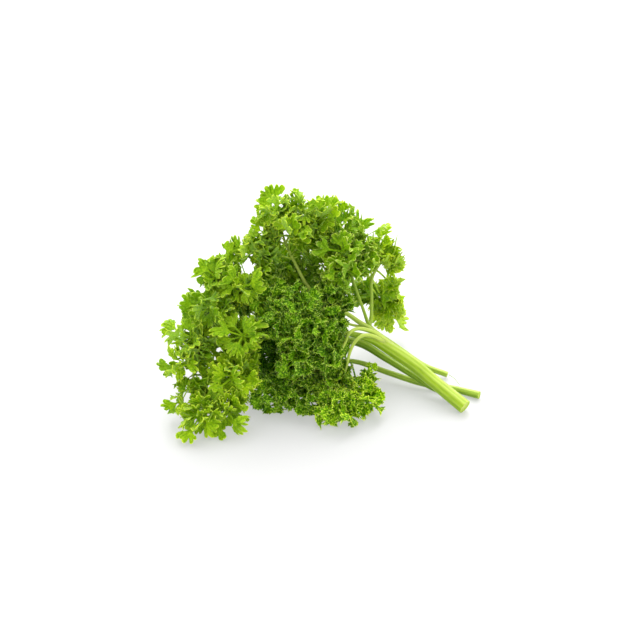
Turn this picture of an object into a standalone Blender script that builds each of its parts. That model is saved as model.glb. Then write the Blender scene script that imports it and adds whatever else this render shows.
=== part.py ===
"""A bunch of curly parsley, lying on a flat surface.

Five cut stalks and their three side branches fan out to the left and carry
fifty-two leaflets. Each leaflet is a tuft of crinkled blades on a thin stem of
its own. Here a tuft is one closed envelope, flattened where it meets the surface
and where it is pressed against a neighbour.

Route points and leaflet places are millimetres in the layout's own frame:
+X along the stalks towards their cut ends, +Y to the back, Z = 0 the surface.
LAYOUT_CENTRE moves the whole bunch so that its footprint is centred.
"""

import math

import bmesh
import bpy
from mathutils import Matrix, Vector
from mathutils.bvhtree import BVHTree

# ---------------------------------------------------------------- dimensions
MM = 0.001
LAYOUT_CENTRE = (0.3, 0.4)  # mm, the middle of the footprint in the layout frame

GAP = 0.35  # mm, clearance left between touching pieces
ROUTE_STEP = 5.0  # mm, spacing of the points along a stalk
MAIN_STALK_ROUNDNESS = 4  # bevel resolution of the thick stalk
BRANCH_ROUNDNESS = 2  # bevel resolution of the thin stalks and branches

TUFT_SIDES = 10  # sides of a tuft's cross-section, so five blunt ribs
TUFT_RINGS = 9
RIB_DEPTH = 0.08  # how far the ribs stand in and out, as a share of the radius
STEM_SHARE = 0.34  # share of a leaflet's rings spent on its thin stem
STEM_RADIUS = 0.6  # mm
STEM_ARCH = 0.12  # height of a stem's arch, as a share of its length
SHORTEST_STEM = 0.02  # shortest and longest stem, as shares of the whole leaflet
LONGEST_STEM = 0.6
TIP_TAPER = 0.85  # below 1 the blade is widest beyond its middle
FULLNESS = 0.62  # below 1 the blade is blunter than an ellipse
SHARP_ANGLE = math.radians(50)  # creases sharper than this stay sharp

MOST_CUTS = 8  # most flats cut on one tuft for one stalk
NEAR_BLADE = 0.75  # points within this share of a tuft's length belong to its blade
LEAST_SHARE = 0.25  # least share of the space between two tufts that one of them keeps
ON_PLANE = 1e-5  # mm, points this close to a cut count as on it
WELD = 0.01  # mm, points this close are merged after a cut
SLIVER = 0.005  # mm, edges shorter than this are dissolved after a cut
AT_POLE = 1e-4  # shares this close to an end are the leaflet's first or last point
NEARLY_UPRIGHT = 0.1  # a stem with less level run than this has no side of its own

# Each stalk or branch: points from its cut or joined end to its leafy end, with
# the radius at each.
STALKS = {
    "stalk_main": [
        (69, -26, 3.1, 3.4), (54, -13, 10, 3.2), (46, -8, 15, 3.2), (36, -3, 20, 3.1), (27, -1, 25, 2.5),
        (20, -2, 28, 1.6), (10, -3, 31, 1.3), (0, -5, 33, 1.0), (-9, -8, 33, 0.8),
    ],
    "stalk_low": [
        (77, -14, 2.1, 1.9), (64, -8, 2.1, 1.6), (55, -6, 2.4, 1.5), (46, -3, 3.2, 1.5), (33, 3, 4.6, 1.4),
        (18, 8, 7.5, 1.2), (6, 2, 11, 1.0), (-6, -6, 12, 0.8),
    ],
    "stalk_left": [
        (66, -17, 2.2, 1.8), (52, -9, 5, 1.6), (46, -5, 7.2, 1.5), (32, 3, 12.7, 1.7), (19, 8, 18.4, 1.9),
        (2, 6, 22, 1.3), (-20, 0, 26, 1.1), (-40, -9, 30, 1.0), (-54, -17, 29, 0.8),
    ],
    "branch_left": [
        (-23, 2.5, 29.5, 0.8), (-28, 5, 35, 0.8), (-36, 8, 43, 0.7), (-46, 10, 49, 0.7),
    ],
    "stalk_right": [
        (63, 5, 1.9, 1.4), (51, 9, 5, 1.4), (38, 15, 12, 1.3), (29, 17, 18, 1.2), (24.4, 17, 23, 1.0),
        (21.3, 17, 32, 0.75), (15.3, 20, 50, 0.65), (14, 24, 62, 0.6),
    ],
    "branch_right": [
        (25.3, 19.5, 26, 0.9), (25.5, 22, 35, 0.8), (25.6, 24, 46, 0.75), (31, 31, 53, 0.65),
    ],
    "stalk_top": [
        (57, -1, 2, 1.4), (46, 7, 8, 1.4), (34, 10, 17, 1.3), (27, 11, 23, 1.2), (19, 12, 28, 1.2),
        (14, 12, 32, 1.1), (2, 12, 40, 1.0), (-5.4, 15, 45.4, 0.9),
        (-12.4, 19, 57.4, 0.75), (-17.6, 21, 69.4, 0.65),
    ],
    "branch_back": [
        (-2.5, 16.5, 43, 0.8), (-9, 24, 43, 0.8), (-17, 31, 40, 0.7), (-28, 35, 34, 0.7),
    ],
}

# Each group of leaflets: the kind of leaf and one row for each leaflet, with the
# stalk that carries it, how far along that stalk its stem leaves (0 to 1), the
# middle of the tuft, and the tuft's length, width and depth.
TUFTS = {
    "left": ("broad", [
        ("stalk_left", 0.96, (-56, -44, 8), (27, 25, 16)),
        ("stalk_left", 0.90, (-43, -41, 9), (28, 25, 16)),
        ("stalk_left", 0.84, (-41, -31, 22), (30, 28, 18)),
        ("stalk_left", 0.80, (-37, -20, 39), (28, 28, 18)),
        ("stalk_left", 0.94, (-63, -15, 36), (28, 28, 18)),
        ("stalk_left", 0.98, (-66, -23, 25), (26, 24, 16)),
        ("stalk_left", 0.99, (-65, -33, 11), (22, 20, 12)),
        ("branch_left", 0.70, (-54.5, -8, 47), (28, 27, 17)),
        ("branch_left", 0.97, (-50.5, 5, 57.5), (26, 24, 16)),
        ("branch_left", 0.60, (-37, -4, 58), (26, 24, 16)),
        ("branch_left", 0.92, (-45, 14, 61), (22, 20, 14)),
    ]),
    "top": ("broad", [
        ("stalk_top", 0.99, (-21, 22, 85), (26, 24, 18)),
        ("stalk_top", 0.97, (-7.5, 27, 83), (26, 24, 18)),
        ("stalk_top", 0.95, (-28, 18, 75), (24, 22, 16)),
        ("stalk_top", 0.93, (-14, 10, 78), (24, 24, 16)),
        ("stalk_top", 0.88, (-35, 12, 66), (22, 22, 14)),
        ("stalk_top", 0.90, (1, 26, 79), (24, 22, 16)),
    ]),
    "crown": ("medium", [
        ("stalk_right", 0.99, (9, 30, 72.5), (26, 24, 18)),
        ("stalk_right", 0.97, (21, 28, 66.5), (26, 24, 18)),
        ("stalk_right", 0.95, (10, 14, 66), (25, 24, 18)),
        ("stalk_right", 0.92, (22, 18, 57), (24, 22, 16)),
        ("stalk_right", 0.88, (11, 8, 58), (24, 22, 16)),
    ]),
    "right": ("broad", [
        ("branch_right", 0.99, (28.5, 33, 59.5), (23, 21, 12)),
        ("branch_right", 0.96, (35, 38, 45), (22, 20, 12)),
        ("branch_right", 0.80, (38.2, 42, 29), (24, 22, 12)),
        ("branch_right", 0.50, (30, 37, 27), (20, 18, 12)),
        ("branch_right", 0.65, (34.5, 43, 14), (28, 24, 15)),
    ]),
    "front": ("curled", [
        ("stalk_main", 0.99, (-24, -1, 48), (26, 26, 20)),
        ("stalk_main", 0.92, (-9, -4, 50), (26, 26, 20)),
        ("stalk_main", 0.78, (9, 6, 49), (26, 26, 18)),
        ("stalk_main", 0.98, (-18, -13, 38), (26, 26, 20)),
        ("stalk_main", 0.90, (-4, -16, 38), (26, 26, 20)),
        ("stalk_main", 0.82, (9, -8, 40), (25, 26, 18)),
        ("stalk_main", 0.95, (-11, -22, 26), (26, 26, 20)),
        ("stalk_main", 0.80, (6, -18, 27), (26, 26, 20)),
        ("stalk_low", 0.98, (-26, 5, 14), (28, 26, 28)),
    ]),
    "low": ("curled", [
        ("stalk_low", 0.99, (-22.5, -24, 8), (26, 26, 18)),
        ("stalk_low", 0.94, (-6, -26, 8), (24, 26, 18)),
        ("stalk_low", 0.86, (7, -20, 16), (22, 24, 16)),
        ("stalk_low", 0.84, (8, -35, 8), (26, 26, 16)),
        ("stalk_low", 0.72, (19.3, -28, 8), (25, 24, 16)),
        ("stalk_low", 0.62, (25, -13, 17), (8, 8, 6)),
    ]),
    "back": ("medium", [
        ("branch_back", 0.60, (-19, 20, 58), (26, 24, 18)),
        ("branch_back", 0.30, (-5, 25, 60), (26, 24, 18)),
        ("stalk_top", 0.66, (3, 20, 54), (24, 22, 16)),
        ("branch_back", 0.70, (-29, 10, 55), (24, 22, 16)),
        ("branch_back", 0.55, (-13, 41, 46), (34, 32, 20)),
        ("branch_back", 0.90, (-39, 32, 43), (34, 32, 20)),
        ("branch_back", 0.97, (-40, 40, 14), (34, 32, 22)),
        ("branch_back", 0.80, (-16, 43, 15), (34, 32, 22)),
        ("branch_back", 0.20, (12, 38, 30), (32, 30, 20)),
        ("branch_back", 0.98, (-56, 17, 30), (32, 32, 20)),
    ]),
}

FINISHES = {  # base colour and roughness
    "broad": ((0.23, 0.36, 0.045), 0.5),
    "medium": ((0.17, 0.31, 0.035), 0.5),
    "curled": ((0.11, 0.23, 0.025), 0.5),
    "stalk": ((0.42, 0.55, 0.13), 0.42),
}


# ------------------------------------------------------------------- helpers
def clear_scene():
    """Remove every object, so that the script can be run again."""
    for old in list(bpy.data.objects):
        bpy.data.objects.remove(old, do_unlink=True)


def placed(point):
    """A layout point in millimetres as a world point in metres."""
    x, y, z = point
    return Vector((x - LAYOUT_CENTRE[0], y - LAYOUT_CENTRE[1], z)) * MM


def finish_material(kind):
    """A plant-tissue material, made once for each kind of piece."""
    material = bpy.data.materials.get(kind)
    if material:
        return material
    colour, roughness = FINISHES[kind]
    material = bpy.data.materials.new(kind)
    material.use_nodes = True
    shader = material.node_tree.nodes["Principled BSDF"]
    shader.inputs["Base Color"].default_value = (*colour, 1.0)
    shader.inputs["Roughness"].default_value = roughness
    shader.inputs["Metallic"].default_value = 0.0
    return material


def smooth_route(rows, step):
    """Points about `step` apart on a Catmull-Rom curve through the rows, and the radius at each."""
    rows = [Vector(row) for row in rows]
    rows = [2 * rows[0] - rows[1], *rows, 2 * rows[-1] - rows[-2]]
    smooth = []
    for a, b, c, d in zip(rows, rows[1:], rows[2:], rows[3:]):
        count = max(1, round((c - b).length / step))
        for k in range(count):
            t = k / count
            smooth.append(
                0.5 * (2 * b + (c - a) * t + (2 * a - 5 * b + 4 * c - d) * t**2
                       + (3 * b - a - 3 * c + d) * t**3)
            )
    smooth.append(rows[-2])
    return [row.to_3d() for row in smooth], [row.w for row in smooth]


def along(values, share):
    """The value at a share of a list of points or radii, read between its neighbours."""
    place = share * (len(values) - 1)
    index = min(int(place), len(values) - 2)
    return values[index] + (values[index + 1] - values[index]) * (place - index)


# -------------------------------------------------------------------- stalks
def make_stalk(name, rows, collection):
    """One stalk or branch as a tapered tube with closed ends."""
    points, radii = smooth_route(rows, ROUTE_STEP)
    curve = bpy.data.curves.new(name, "CURVE")
    curve.dimensions = "3D"
    curve.bevel_depth = MM
    curve.bevel_resolution = MAIN_STALK_ROUNDNESS if name == "stalk_main" else BRANCH_ROUNDNESS
    curve.use_fill_caps = True
    spline = curve.splines.new("POLY")
    spline.points.add(len(points) - 1)
    for target, point, radius in zip(spline.points, points, radii):
        target.co = (*((point - points[0]) * MM), 1.0)
        target.radius = radius
    curve.materials.append(finish_material("stalk"))
    tube = bpy.data.objects.new(name, curve)
    tube.location = placed(points[0])
    collection.objects.link(tube)
    return {"points": points, "radii": radii}


# --------------------------------------------------------------------- tufts
def tuft_profile(share):
    """Relative half-width of a leaflet from its stem (0) to its tip (1)."""
    if share < STEM_SHARE:
        return 0.0
    blade = (share - STEM_SHARE) / (1 - STEM_SHARE)
    return math.sin(math.pi * blade**TIP_TAPER) ** FULLNESS


def tuft_mesh(base, middle, size):
    """A leaflet's envelope: a ball drawn out along its stem and blade."""
    length, width, depth = size
    heading = (middle - base).normalized()
    tip = middle + heading * length / 2
    arch = Vector((0, 0, 1)) * STEM_ARCH * (tip - base).length
    control = base.lerp(tip, 0.5) + arch
    stem_length = (middle - heading * length / 2 - base).dot(heading)
    start_share = max(SHORTEST_STEM, min(LONGEST_STEM, stem_length / (tip - base).length))
    bm = bmesh.new()
    bmesh.ops.create_uvsphere(bm, u_segments=TUFT_SIDES, v_segments=TUFT_RINGS, radius=1.0)
    for vert in bm.verts:
        share = math.acos(max(-1.0, min(1.0, -vert.co.z))) / math.pi
        angle = math.atan2(vert.co.y, vert.co.x)
        if share < STEM_SHARE:
            t = start_share * share / STEM_SHARE
        else:
            t = start_share + (1 - start_share) * (share - STEM_SHARE) / (1 - STEM_SHARE)
        centre = base * (1 - t) ** 2 + control * 2 * t * (1 - t) + tip * t**2
        tangent = ((control - base) * (1 - t) + (tip - control) * t).normalized()
        side = tangent.cross(Vector((0, 0, 1)))
        if side.length < NEARLY_UPRIGHT:
            side = Vector((1, 0, 0))
        side.normalize()
        normal = side.cross(tangent)
        at_pole = share < AT_POLE or share > 1 - AT_POLE
        rib = 1 + RIB_DEPTH * math.cos(TUFT_SIDES / 2 * angle)
        girth = tuft_profile(share) * rib
        half_width = 0.0 if at_pole else max(STEM_RADIUS, girth * width / 2)
        half_depth = 0.0 if at_pole else max(STEM_RADIUS, girth * depth / 2)
        vert.co = centre + side * half_width * math.cos(angle) + normal * half_depth * math.sin(angle)
    bmesh.ops.recalc_face_normals(bm, faces=bm.faces)
    return bm


def surface_tree(bm):
    """A search tree of a mesh's triangles."""
    return BVHTree.FromBMesh(bm)


def keep_largest_island(bm):
    """Leave only the connected shell with the largest surface."""
    unseen = set(bm.faces)
    islands = []
    while unseen:
        stack = [unseen.pop()]
        island = []
        while stack:
            face = stack.pop()
            island.append(face)
            for edge in face.edges:
                for other in edge.link_faces:
                    if other in unseen:
                        unseen.remove(other)
                        stack.append(other)
        islands.append(island)
    islands.sort(key=lambda faces: sum(face.calc_area() for face in faces))
    spare = [vert for faces in islands[:-1] for face in faces for vert in face.verts]
    bmesh.ops.delete(bm, geom=list(set(spare)), context="VERTS")


def cut_off(bm, point, direction):
    """Cut away what lies beyond a plane, on the side of `direction`, and close the cut."""
    geom = bm.verts[:] + bm.edges[:] + bm.faces[:]
    bmesh.ops.bisect_plane(
        bm, geom=geom, dist=ON_PLANE, plane_co=point, plane_no=direction, clear_outer=True
    )
    rims = [edge for edge in bm.edges if edge.is_boundary]
    if rims:
        bmesh.ops.holes_fill(bm, edges=rims, sides=0)
    bmesh.ops.remove_doubles(bm, verts=bm.verts[:], dist=WELD)
    bmesh.ops.dissolve_degenerate(bm, edges=bm.edges[:], dist=SLIVER)
    keep_largest_island(bm)


def reach(bm, middle, direction, length):
    """How far a tuft's blade reaches from its middle along a direction."""
    near = [vert.co for vert in bm.verts if (vert.co - middle).length < NEAR_BLADE * length]
    return max((point - middle).dot(direction) for point in near)


def part_tufts(first, second):
    """Press two overlapping tufts flat against each other, a gap apart."""
    across = second["middle"] - first["middle"]
    distance = across.length
    across.normalize()
    ahead = reach(first["mesh"], first["middle"], across, first["size"][0])
    back = reach(second["mesh"], second["middle"], -across, second["size"][0])
    share = max(LEAST_SHARE, min(1 - LEAST_SHARE, ahead / (ahead + back)))
    wall = first["middle"] + across * distance * share
    cut_off(first["mesh"], wall - across * GAP / 2, across)
    cut_off(second["mesh"], wall + across * GAP / 2, -across)


def clear_stalk(tuft, stalk, tube):
    """Flatten a tuft where a stalk passes, until the two no longer meet."""
    points, radii = stalk["points"], stalk["radii"]
    for _ in range(MOST_CUTS):
        pairs = surface_tree(tuft["mesh"]).overlap(tube)
        if not pairs:
            return
        tuft["mesh"].faces.ensure_lookup_table()
        hit = sum((tuft["mesh"].faces[i].calc_center_median() for i, _ in pairs), Vector()) / len(pairs)
        index = min(range(len(points)), key=lambda k: (points[k] - hit).length)
        before, after = points[max(0, index - 1)], points[min(len(points) - 1, index + 1)]
        run = (after - before).normalized()
        away = tuft["middle"] - points[index]
        away -= run * away.dot(run)
        away.normalize()
        cut_off(tuft["mesh"], points[index] + away * (radii[index] + GAP), -away)


def tube_tree(name):
    """A search tree of a stalk's surface, in layout millimetres."""
    depsgraph = bpy.context.evaluated_depsgraph_get()
    tube = bpy.data.objects[name].evaluated_get(depsgraph)
    mesh = tube.to_mesh()
    shift = Vector((*LAYOUT_CENTRE, 0.0))
    points = [(tube.matrix_world @ vert.co) / MM + shift for vert in mesh.vertices]
    tree = BVHTree.FromPolygons(points, [face.vertices[:] for face in mesh.polygons])
    tube.to_mesh_clear()
    return tree


def scale_about(start):
    """The matrix from layout millimetres to metres measured from `start`."""
    return Matrix.Scale(MM, 4) @ Matrix.Translation(-start)


def make_tuft_object(name, tuft, collection):
    """Turn a finished envelope into an object whose origin is where its stem starts."""
    start = tuft["base"]
    bmesh.ops.recalc_face_normals(tuft["mesh"], faces=tuft["mesh"].faces)
    if tuft["mesh"].calc_volume(signed=True) < 0:
        bmesh.ops.reverse_faces(tuft["mesh"], faces=tuft["mesh"].faces)
    bmesh.ops.transform(tuft["mesh"], matrix=scale_about(start), verts=tuft["mesh"].verts[:])
    mesh = bpy.data.meshes.new(name)
    tuft["mesh"].to_mesh(mesh)
    tuft["mesh"].free()
    mesh.materials.append(finish_material(tuft["kind"]))
    mesh.shade_smooth()
    mesh.set_sharp_from_angle(angle=SHARP_ANGLE)
    leaflet = bpy.data.objects.new(name, mesh)
    leaflet.location = placed(start)
    collection.objects.link(leaflet)


# --------------------------------------------------------------------- build
def build():
    clear_scene()
    collection = bpy.data.collections.get("parsley_bunch") or bpy.data.collections.new("parsley_bunch")
    if collection.name not in bpy.context.scene.collection.children:
        bpy.context.scene.collection.children.link(collection)

    stalks = {name: make_stalk(name, rows, collection) for name, rows in STALKS.items()}
    bpy.context.view_layer.update()

    tufts = {}
    for group, (kind, rows) in TUFTS.items():
        for number, (stalk, share, middle, size) in enumerate(rows, start=1):
            root = along(stalks[stalk]["points"], share)
            middle = Vector(middle)
            heading = (middle - root).normalized()
            base = root + heading * (along(stalks[stalk]["radii"], share) + GAP)
            tufts[f"leaflet_{group}_{number}"] = {
                "mesh": tuft_mesh(base, middle, size),
                "base": base,
                "middle": middle,
                "size": size,
                "kind": kind,
            }

    for tuft in tufts.values():
        if min(vert.co.z for vert in tuft["mesh"].verts) < 0:
            cut_off(tuft["mesh"], Vector((0, 0, 0)), Vector((0, 0, -1)))
    names = list(tufts)
    for i, first in enumerate(names):
        for second in names[i + 1:]:
            a, b = tufts[first], tufts[second]
            if surface_tree(a["mesh"]).overlap(surface_tree(b["mesh"])):
                part_tufts(a, b)
    for name, stalk in stalks.items():
        tube = tube_tree(name)
        for tuft in tufts.values():
            clear_stalk(tuft, stalk, tube)
    for name, tuft in tufts.items():
        make_tuft_object(name, tuft, collection)


build()
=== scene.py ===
# %% [markdown]
# # A bunch of curly parsley
#
# A few leaves of curly parsley, cut low on their stalks, lie in a loose heap. Each
# leaf is a ribbed stalk that branches again and again, and every last branch ends in
# a small fan of green tissue whose margin has grown longer than the blade behind it,
# so it ruffles. This lesson grows those fans from flat grids, copies them into tufts,
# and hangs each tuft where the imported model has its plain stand-in.

# %% Load the frame
import math
import random
from collections import namedtuple

import bpy
import numpy as np
from mathutils import Matrix, Vector


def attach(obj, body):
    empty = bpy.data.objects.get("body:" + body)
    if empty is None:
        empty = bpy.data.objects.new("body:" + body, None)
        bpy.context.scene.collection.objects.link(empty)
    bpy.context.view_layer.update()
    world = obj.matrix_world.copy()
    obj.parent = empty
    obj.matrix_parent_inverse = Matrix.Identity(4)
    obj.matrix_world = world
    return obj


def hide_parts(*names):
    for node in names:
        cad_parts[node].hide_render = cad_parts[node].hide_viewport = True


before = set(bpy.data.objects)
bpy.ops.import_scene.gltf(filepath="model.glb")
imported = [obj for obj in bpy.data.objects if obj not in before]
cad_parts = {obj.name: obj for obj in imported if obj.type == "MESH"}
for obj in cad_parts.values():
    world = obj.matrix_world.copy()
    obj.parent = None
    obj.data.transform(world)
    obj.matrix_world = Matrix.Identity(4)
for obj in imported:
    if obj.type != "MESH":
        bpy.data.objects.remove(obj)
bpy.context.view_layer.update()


# %% Millimetres to metres, and what is selected
MM = 0.001
LAYOUT_CENTRE = Vector((0.3, 0.4, 0.0))  # mm, as in the model: the middle of the footprint


def placed(point):
    """A layout point in millimetres as a point of the frame in metres."""
    return (Vector(point[:3]) - LAYOUT_CENTRE) * MM


def deselect_all():
    """Deselect every object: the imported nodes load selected, and an operator acts on what is selected."""
    for thing in bpy.context.selected_objects:
        thing.select_set(False)


def make_active(thing):
    """Select one object and nothing else."""
    deselect_all()
    thing.select_set(True)
    bpy.context.view_layer.objects.active = thing


# %% [markdown]
# ## Layout
#
# The stalks' routes and the places of the tufts are the model's own driving
# dimensions, in millimetres. Each stalk row is x, y, z and the radius there. Each
# tuft row is the stalk that carries it, how far along that stalk its stem leaves,
# the middle of the tuft, and its length, width and depth.

# %% The stalks' routes
STALKS = {
    "stalk_main": [
        (69, -26, 3.1, 3.4), (54, -13, 10, 3.2), (46, -8, 15, 3.2), (36, -3, 20, 3.1),
        (27, -1, 25, 2.5), (20, -2, 28, 1.6), (10, -3, 31, 1.3), (0, -5, 33, 1.0),
        (-9, -8, 33, 0.8),
    ],
    "stalk_low": [
        (77, -14, 2.1, 1.9), (64, -8, 2.1, 1.6), (55, -6, 2.4, 1.5), (46, -3, 3.2, 1.5), (33, 3, 4.6, 1.4),
        (18, 8, 7.5, 1.2), (6, 2, 11, 1.0), (-6, -6, 12, 0.8),
    ],
    "stalk_left": [
        (66, -17, 2.2, 1.8), (52, -9, 5, 1.6), (46, -5, 7.2, 1.5), (32, 3, 12.7, 1.7), (19, 8, 18.4, 1.9),
        (2, 6, 22, 1.3), (-20, 0, 26, 1.1), (-40, -9, 30, 1.0), (-54, -17, 29, 0.8),
    ],
    "branch_left": [
        (-23, 2.5, 29.5, 0.8), (-28, 5, 35, 0.8), (-36, 8, 43, 0.7), (-46, 10, 49, 0.7),
    ],
    "stalk_right": [
        (63, 5, 1.9, 1.4), (51, 9, 5, 1.4), (38, 15, 12, 1.3), (29, 17, 18, 1.2), (24.4, 17, 23, 1.0),
        (21.3, 17, 32, 0.75), (15.3, 20, 50, 0.65), (14, 24, 62, 0.6),
    ],
    "branch_right": [
        (25.3, 19.5, 26, 0.9), (25.5, 22, 35, 0.8), (25.6, 24, 46, 0.75), (31, 31, 53, 0.65),
    ],
    "stalk_top": [
        (57, -1, 2, 1.4), (46, 7, 8, 1.4), (34, 10, 17, 1.3), (27, 11, 23, 1.2), (19, 12, 28, 1.2),
        (14, 12, 32, 1.1), (2, 12, 40, 1.0), (-5.4, 15, 45.4, 0.9),
        (-12.4, 19, 57.4, 0.75), (-17.6, 21, 69.4, 0.65),
    ],
    "branch_back": [
        (-2.5, 16.5, 43, 0.8), (-9, 24, 43, 0.8), (-17, 31, 40, 0.7), (-28, 35, 34, 0.7),
    ],
}

# %% The tufts' places
TUFTS = {
    "left": ("broad", [
        ("stalk_left", 0.96, (-56, -44, 8), (27, 25, 16)),
        ("stalk_left", 0.90, (-43, -41, 9), (28, 25, 16)),
        ("stalk_left", 0.84, (-41, -31, 22), (30, 28, 18)),
        ("stalk_left", 0.80, (-37, -20, 39), (28, 28, 18)),
        ("stalk_left", 0.94, (-63, -15, 36), (28, 28, 18)),
        ("stalk_left", 0.98, (-66, -23, 25), (26, 24, 16)),
        ("stalk_left", 0.99, (-65, -33, 11), (22, 20, 12)),
        ("branch_left", 0.70, (-54.5, -8, 47), (28, 27, 17)),
        ("branch_left", 0.97, (-50.5, 5, 57.5), (26, 24, 16)),
        ("branch_left", 0.60, (-37, -4, 58), (26, 24, 16)),
        ("branch_left", 0.92, (-45, 14, 61), (22, 20, 14)),
    ]),
    "top": ("broad", [
        ("stalk_top", 0.99, (-21, 22, 85), (26, 24, 18)),
        ("stalk_top", 0.97, (-7.5, 27, 83), (26, 24, 18)),
        ("stalk_top", 0.95, (-28, 18, 75), (24, 22, 16)),
        ("stalk_top", 0.93, (-14, 10, 78), (24, 24, 16)),
        ("stalk_top", 0.88, (-35, 12, 66), (22, 22, 14)),
        ("stalk_top", 0.90, (1, 26, 79), (24, 22, 16)),
    ]),
    "crown": ("medium", [
        ("stalk_right", 0.99, (9, 30, 72.5), (26, 24, 18)),
        ("stalk_right", 0.97, (21, 28, 66.5), (26, 24, 18)),
        ("stalk_right", 0.95, (10, 14, 66), (25, 24, 18)),
        ("stalk_right", 0.92, (22, 18, 57), (24, 22, 16)),
        ("stalk_right", 0.88, (11, 8, 58), (24, 22, 16)),
    ]),
    "right": ("broad", [
        ("branch_right", 0.99, (28.5, 33, 59.5), (23, 21, 12)),
        ("branch_right", 0.96, (35, 38, 45), (22, 20, 12)),
        ("branch_right", 0.80, (38.2, 42, 29), (24, 22, 12)),
        ("branch_right", 0.50, (30, 37, 27), (20, 18, 12)),
        ("branch_right", 0.65, (34.5, 43, 14), (28, 24, 15)),
    ]),
    "front": ("curled", [
        ("stalk_main", 0.99, (-24, -1, 48), (26, 26, 20)),
        ("stalk_main", 0.92, (-9, -4, 50), (26, 26, 20)),
        ("stalk_main", 0.78, (9, 6, 49), (26, 26, 18)),
        ("stalk_main", 0.98, (-18, -13, 38), (26, 26, 20)),
        ("stalk_main", 0.90, (-4, -16, 38), (26, 26, 20)),
        ("stalk_main", 0.82, (9, -8, 40), (25, 26, 18)),
        ("stalk_main", 0.95, (-11, -22, 26), (26, 26, 20)),
        ("stalk_main", 0.80, (6, -18, 27), (26, 26, 20)),
        ("stalk_low", 0.98, (-26, 5, 14), (28, 26, 28)),
    ]),
    "low": ("curled", [
        ("stalk_low", 0.99, (-22.5, -24, 8), (26, 26, 18)),
        ("stalk_low", 0.94, (-6, -26, 8), (24, 26, 18)),
        ("stalk_low", 0.86, (7, -20, 16), (22, 24, 16)),
        ("stalk_low", 0.84, (8, -35, 8), (26, 26, 16)),
        ("stalk_low", 0.72, (19.3, -28, 8), (25, 24, 16)),
        ("stalk_low", 0.62, (25, -13, 17), (8, 8, 6)),
    ]),
    "back": ("medium", [
        ("branch_back", 0.60, (-19, 20, 58), (26, 24, 18)),
        ("branch_back", 0.30, (-5, 25, 60), (26, 24, 18)),
        ("stalk_top", 0.66, (3, 20, 54), (24, 22, 16)),
        ("branch_back", 0.70, (-29, 10, 55), (24, 22, 16)),
        ("branch_back", 0.55, (-13, 41, 46), (34, 32, 20)),
        ("branch_back", 0.90, (-39, 32, 43), (34, 32, 20)),
        ("branch_back", 0.97, (-40, 40, 14), (34, 32, 22)),
        ("branch_back", 0.80, (-16, 43, 15), (34, 32, 22)),
        ("branch_back", 0.20, (12, 38, 30), (32, 30, 20)),
        ("branch_back", 0.98, (-56, 17, 30), (32, 32, 20)),
    ]),
}
print("tufts:", sum(len(rows) for _, rows in TUFTS.values()))


# %% [markdown]
# ## Smooth routes
#
# A stalk bends in one easy curve, so its few route points are joined by a
# Catmull-Rom curve, the same one that the model uses. The radius is read from it too.
# The leaflets' stems leave the stalks at points of this curve.

# %% Points along a route
def smooth_route(rows, step):
    """Points about `step` apart on a curve through the rows, and the radius at each."""
    rows = [Vector(row) for row in rows]
    rows = [2 * rows[0] - rows[1], *rows, 2 * rows[-1] - rows[-2]]
    smooth = []
    for a, b, c, d in zip(rows, rows[1:], rows[2:], rows[3:]):
        count = max(1, round((c - b).length / step))
        for k in range(count):
            t = k / count
            smooth.append(
                0.5 * (2 * b + (c - a) * t + (2 * a - 5 * b + 4 * c - d) * t**2
                       + (3 * b - a - 3 * c + d) * t**3)
            )
    smooth.append(rows[-2])
    return [row.to_3d() for row in smooth], [row.w for row in smooth]


def along(values, share):
    """The value at a share of a list, read between its neighbours."""
    place = share * (len(values) - 1)
    index = min(int(place), len(values) - 2)
    return values[index] + (values[index + 1] - values[index]) * (place - index)


MODEL_STEP = 5.0  # mm, the model's own spacing, which fixes where the stems leave
ROUTES = {name: smooth_route(rows, MODEL_STEP) for name, rows in STALKS.items()}
for name, (points, _) in ROUTES.items():
    print(name, "is", round(sum((b - a).length for a, b in zip(points, points[1:]))), "mm long")


# %% [markdown]
# ## Leaf tissue
#
# A parsley blade is thin enough for light to shine through, so its shader is a
# Principled surface with some subsurface scattering. On a real blade one sees, from
# large to small, patches of a deep and a light green and fine veins from the stem to
# the margin with darker tissue between them. Over these the shader paints light and
# shade: a grain of tiny folds, as painted shade in its hollows and painted highlights
# on its crests, and paler margins and tips, as painted highlights where light catches
# the edges and shines through them. Noise is enough for all of these.
# The veins follow the blade, so they are drawn on its UV map, where v runs outwards.
# The rest reads object coordinates.
#
# No two fans of a real bunch are the same green, so every blade carries its own tone
# in a colour attribute. Its red makes the blade yellower and brighter, partly as its
# own tone, which differs at random, and partly as painted glow of light shining through
# the leaves. Its green puts it in painted shade, its blue marks the duller underside,
# and its alpha the tips of the teeth, which get a painted highlight.

# %% Helpers for shader nodes
def fill(tree, node, inputs):
    """Fill a node's inputs with values or links."""
    for key, value in inputs.items():
        if isinstance(value, bpy.types.NodeSocket):
            tree.links.new(value, node.inputs[key])
        else:
            node.inputs[key].default_value = value


def node_link(tree, kind, inputs=None, **settings):
    """Add a shader node, set its properties, and fill its inputs."""
    node = tree.nodes.new(kind)
    for key, value in settings.items():
        setattr(node, key, value)
    fill(tree, node, inputs or {})
    return node


def mixed(tree, share, first, second, blend="MIX"):
    """A colour mixed from two, by a share that is a number or a link."""
    inputs = {0: share, 6: first, 7: second}
    return node_link(tree, "ShaderNodeMix", inputs, data_type="RGBA", blend_type=blend).outputs[2]


def ramp(tree, value, low, high, to_low=0.0, to_high=1.0):
    """Map a value from one range to another, held at its ends. Low may be above high."""
    node = node_link(tree, "ShaderNodeMapRange", {0: value, 1: low, 2: high, 3: to_low, 4: to_high})
    return node.outputs[0]


def noise(tree, coordinates, scale, detail):
    """A noise pattern on some coordinates."""
    inputs = {"Vector": coordinates, "Scale": scale, "Detail": detail}
    return node_link(tree, "ShaderNodeTexNoise", inputs).outputs[0]


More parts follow.
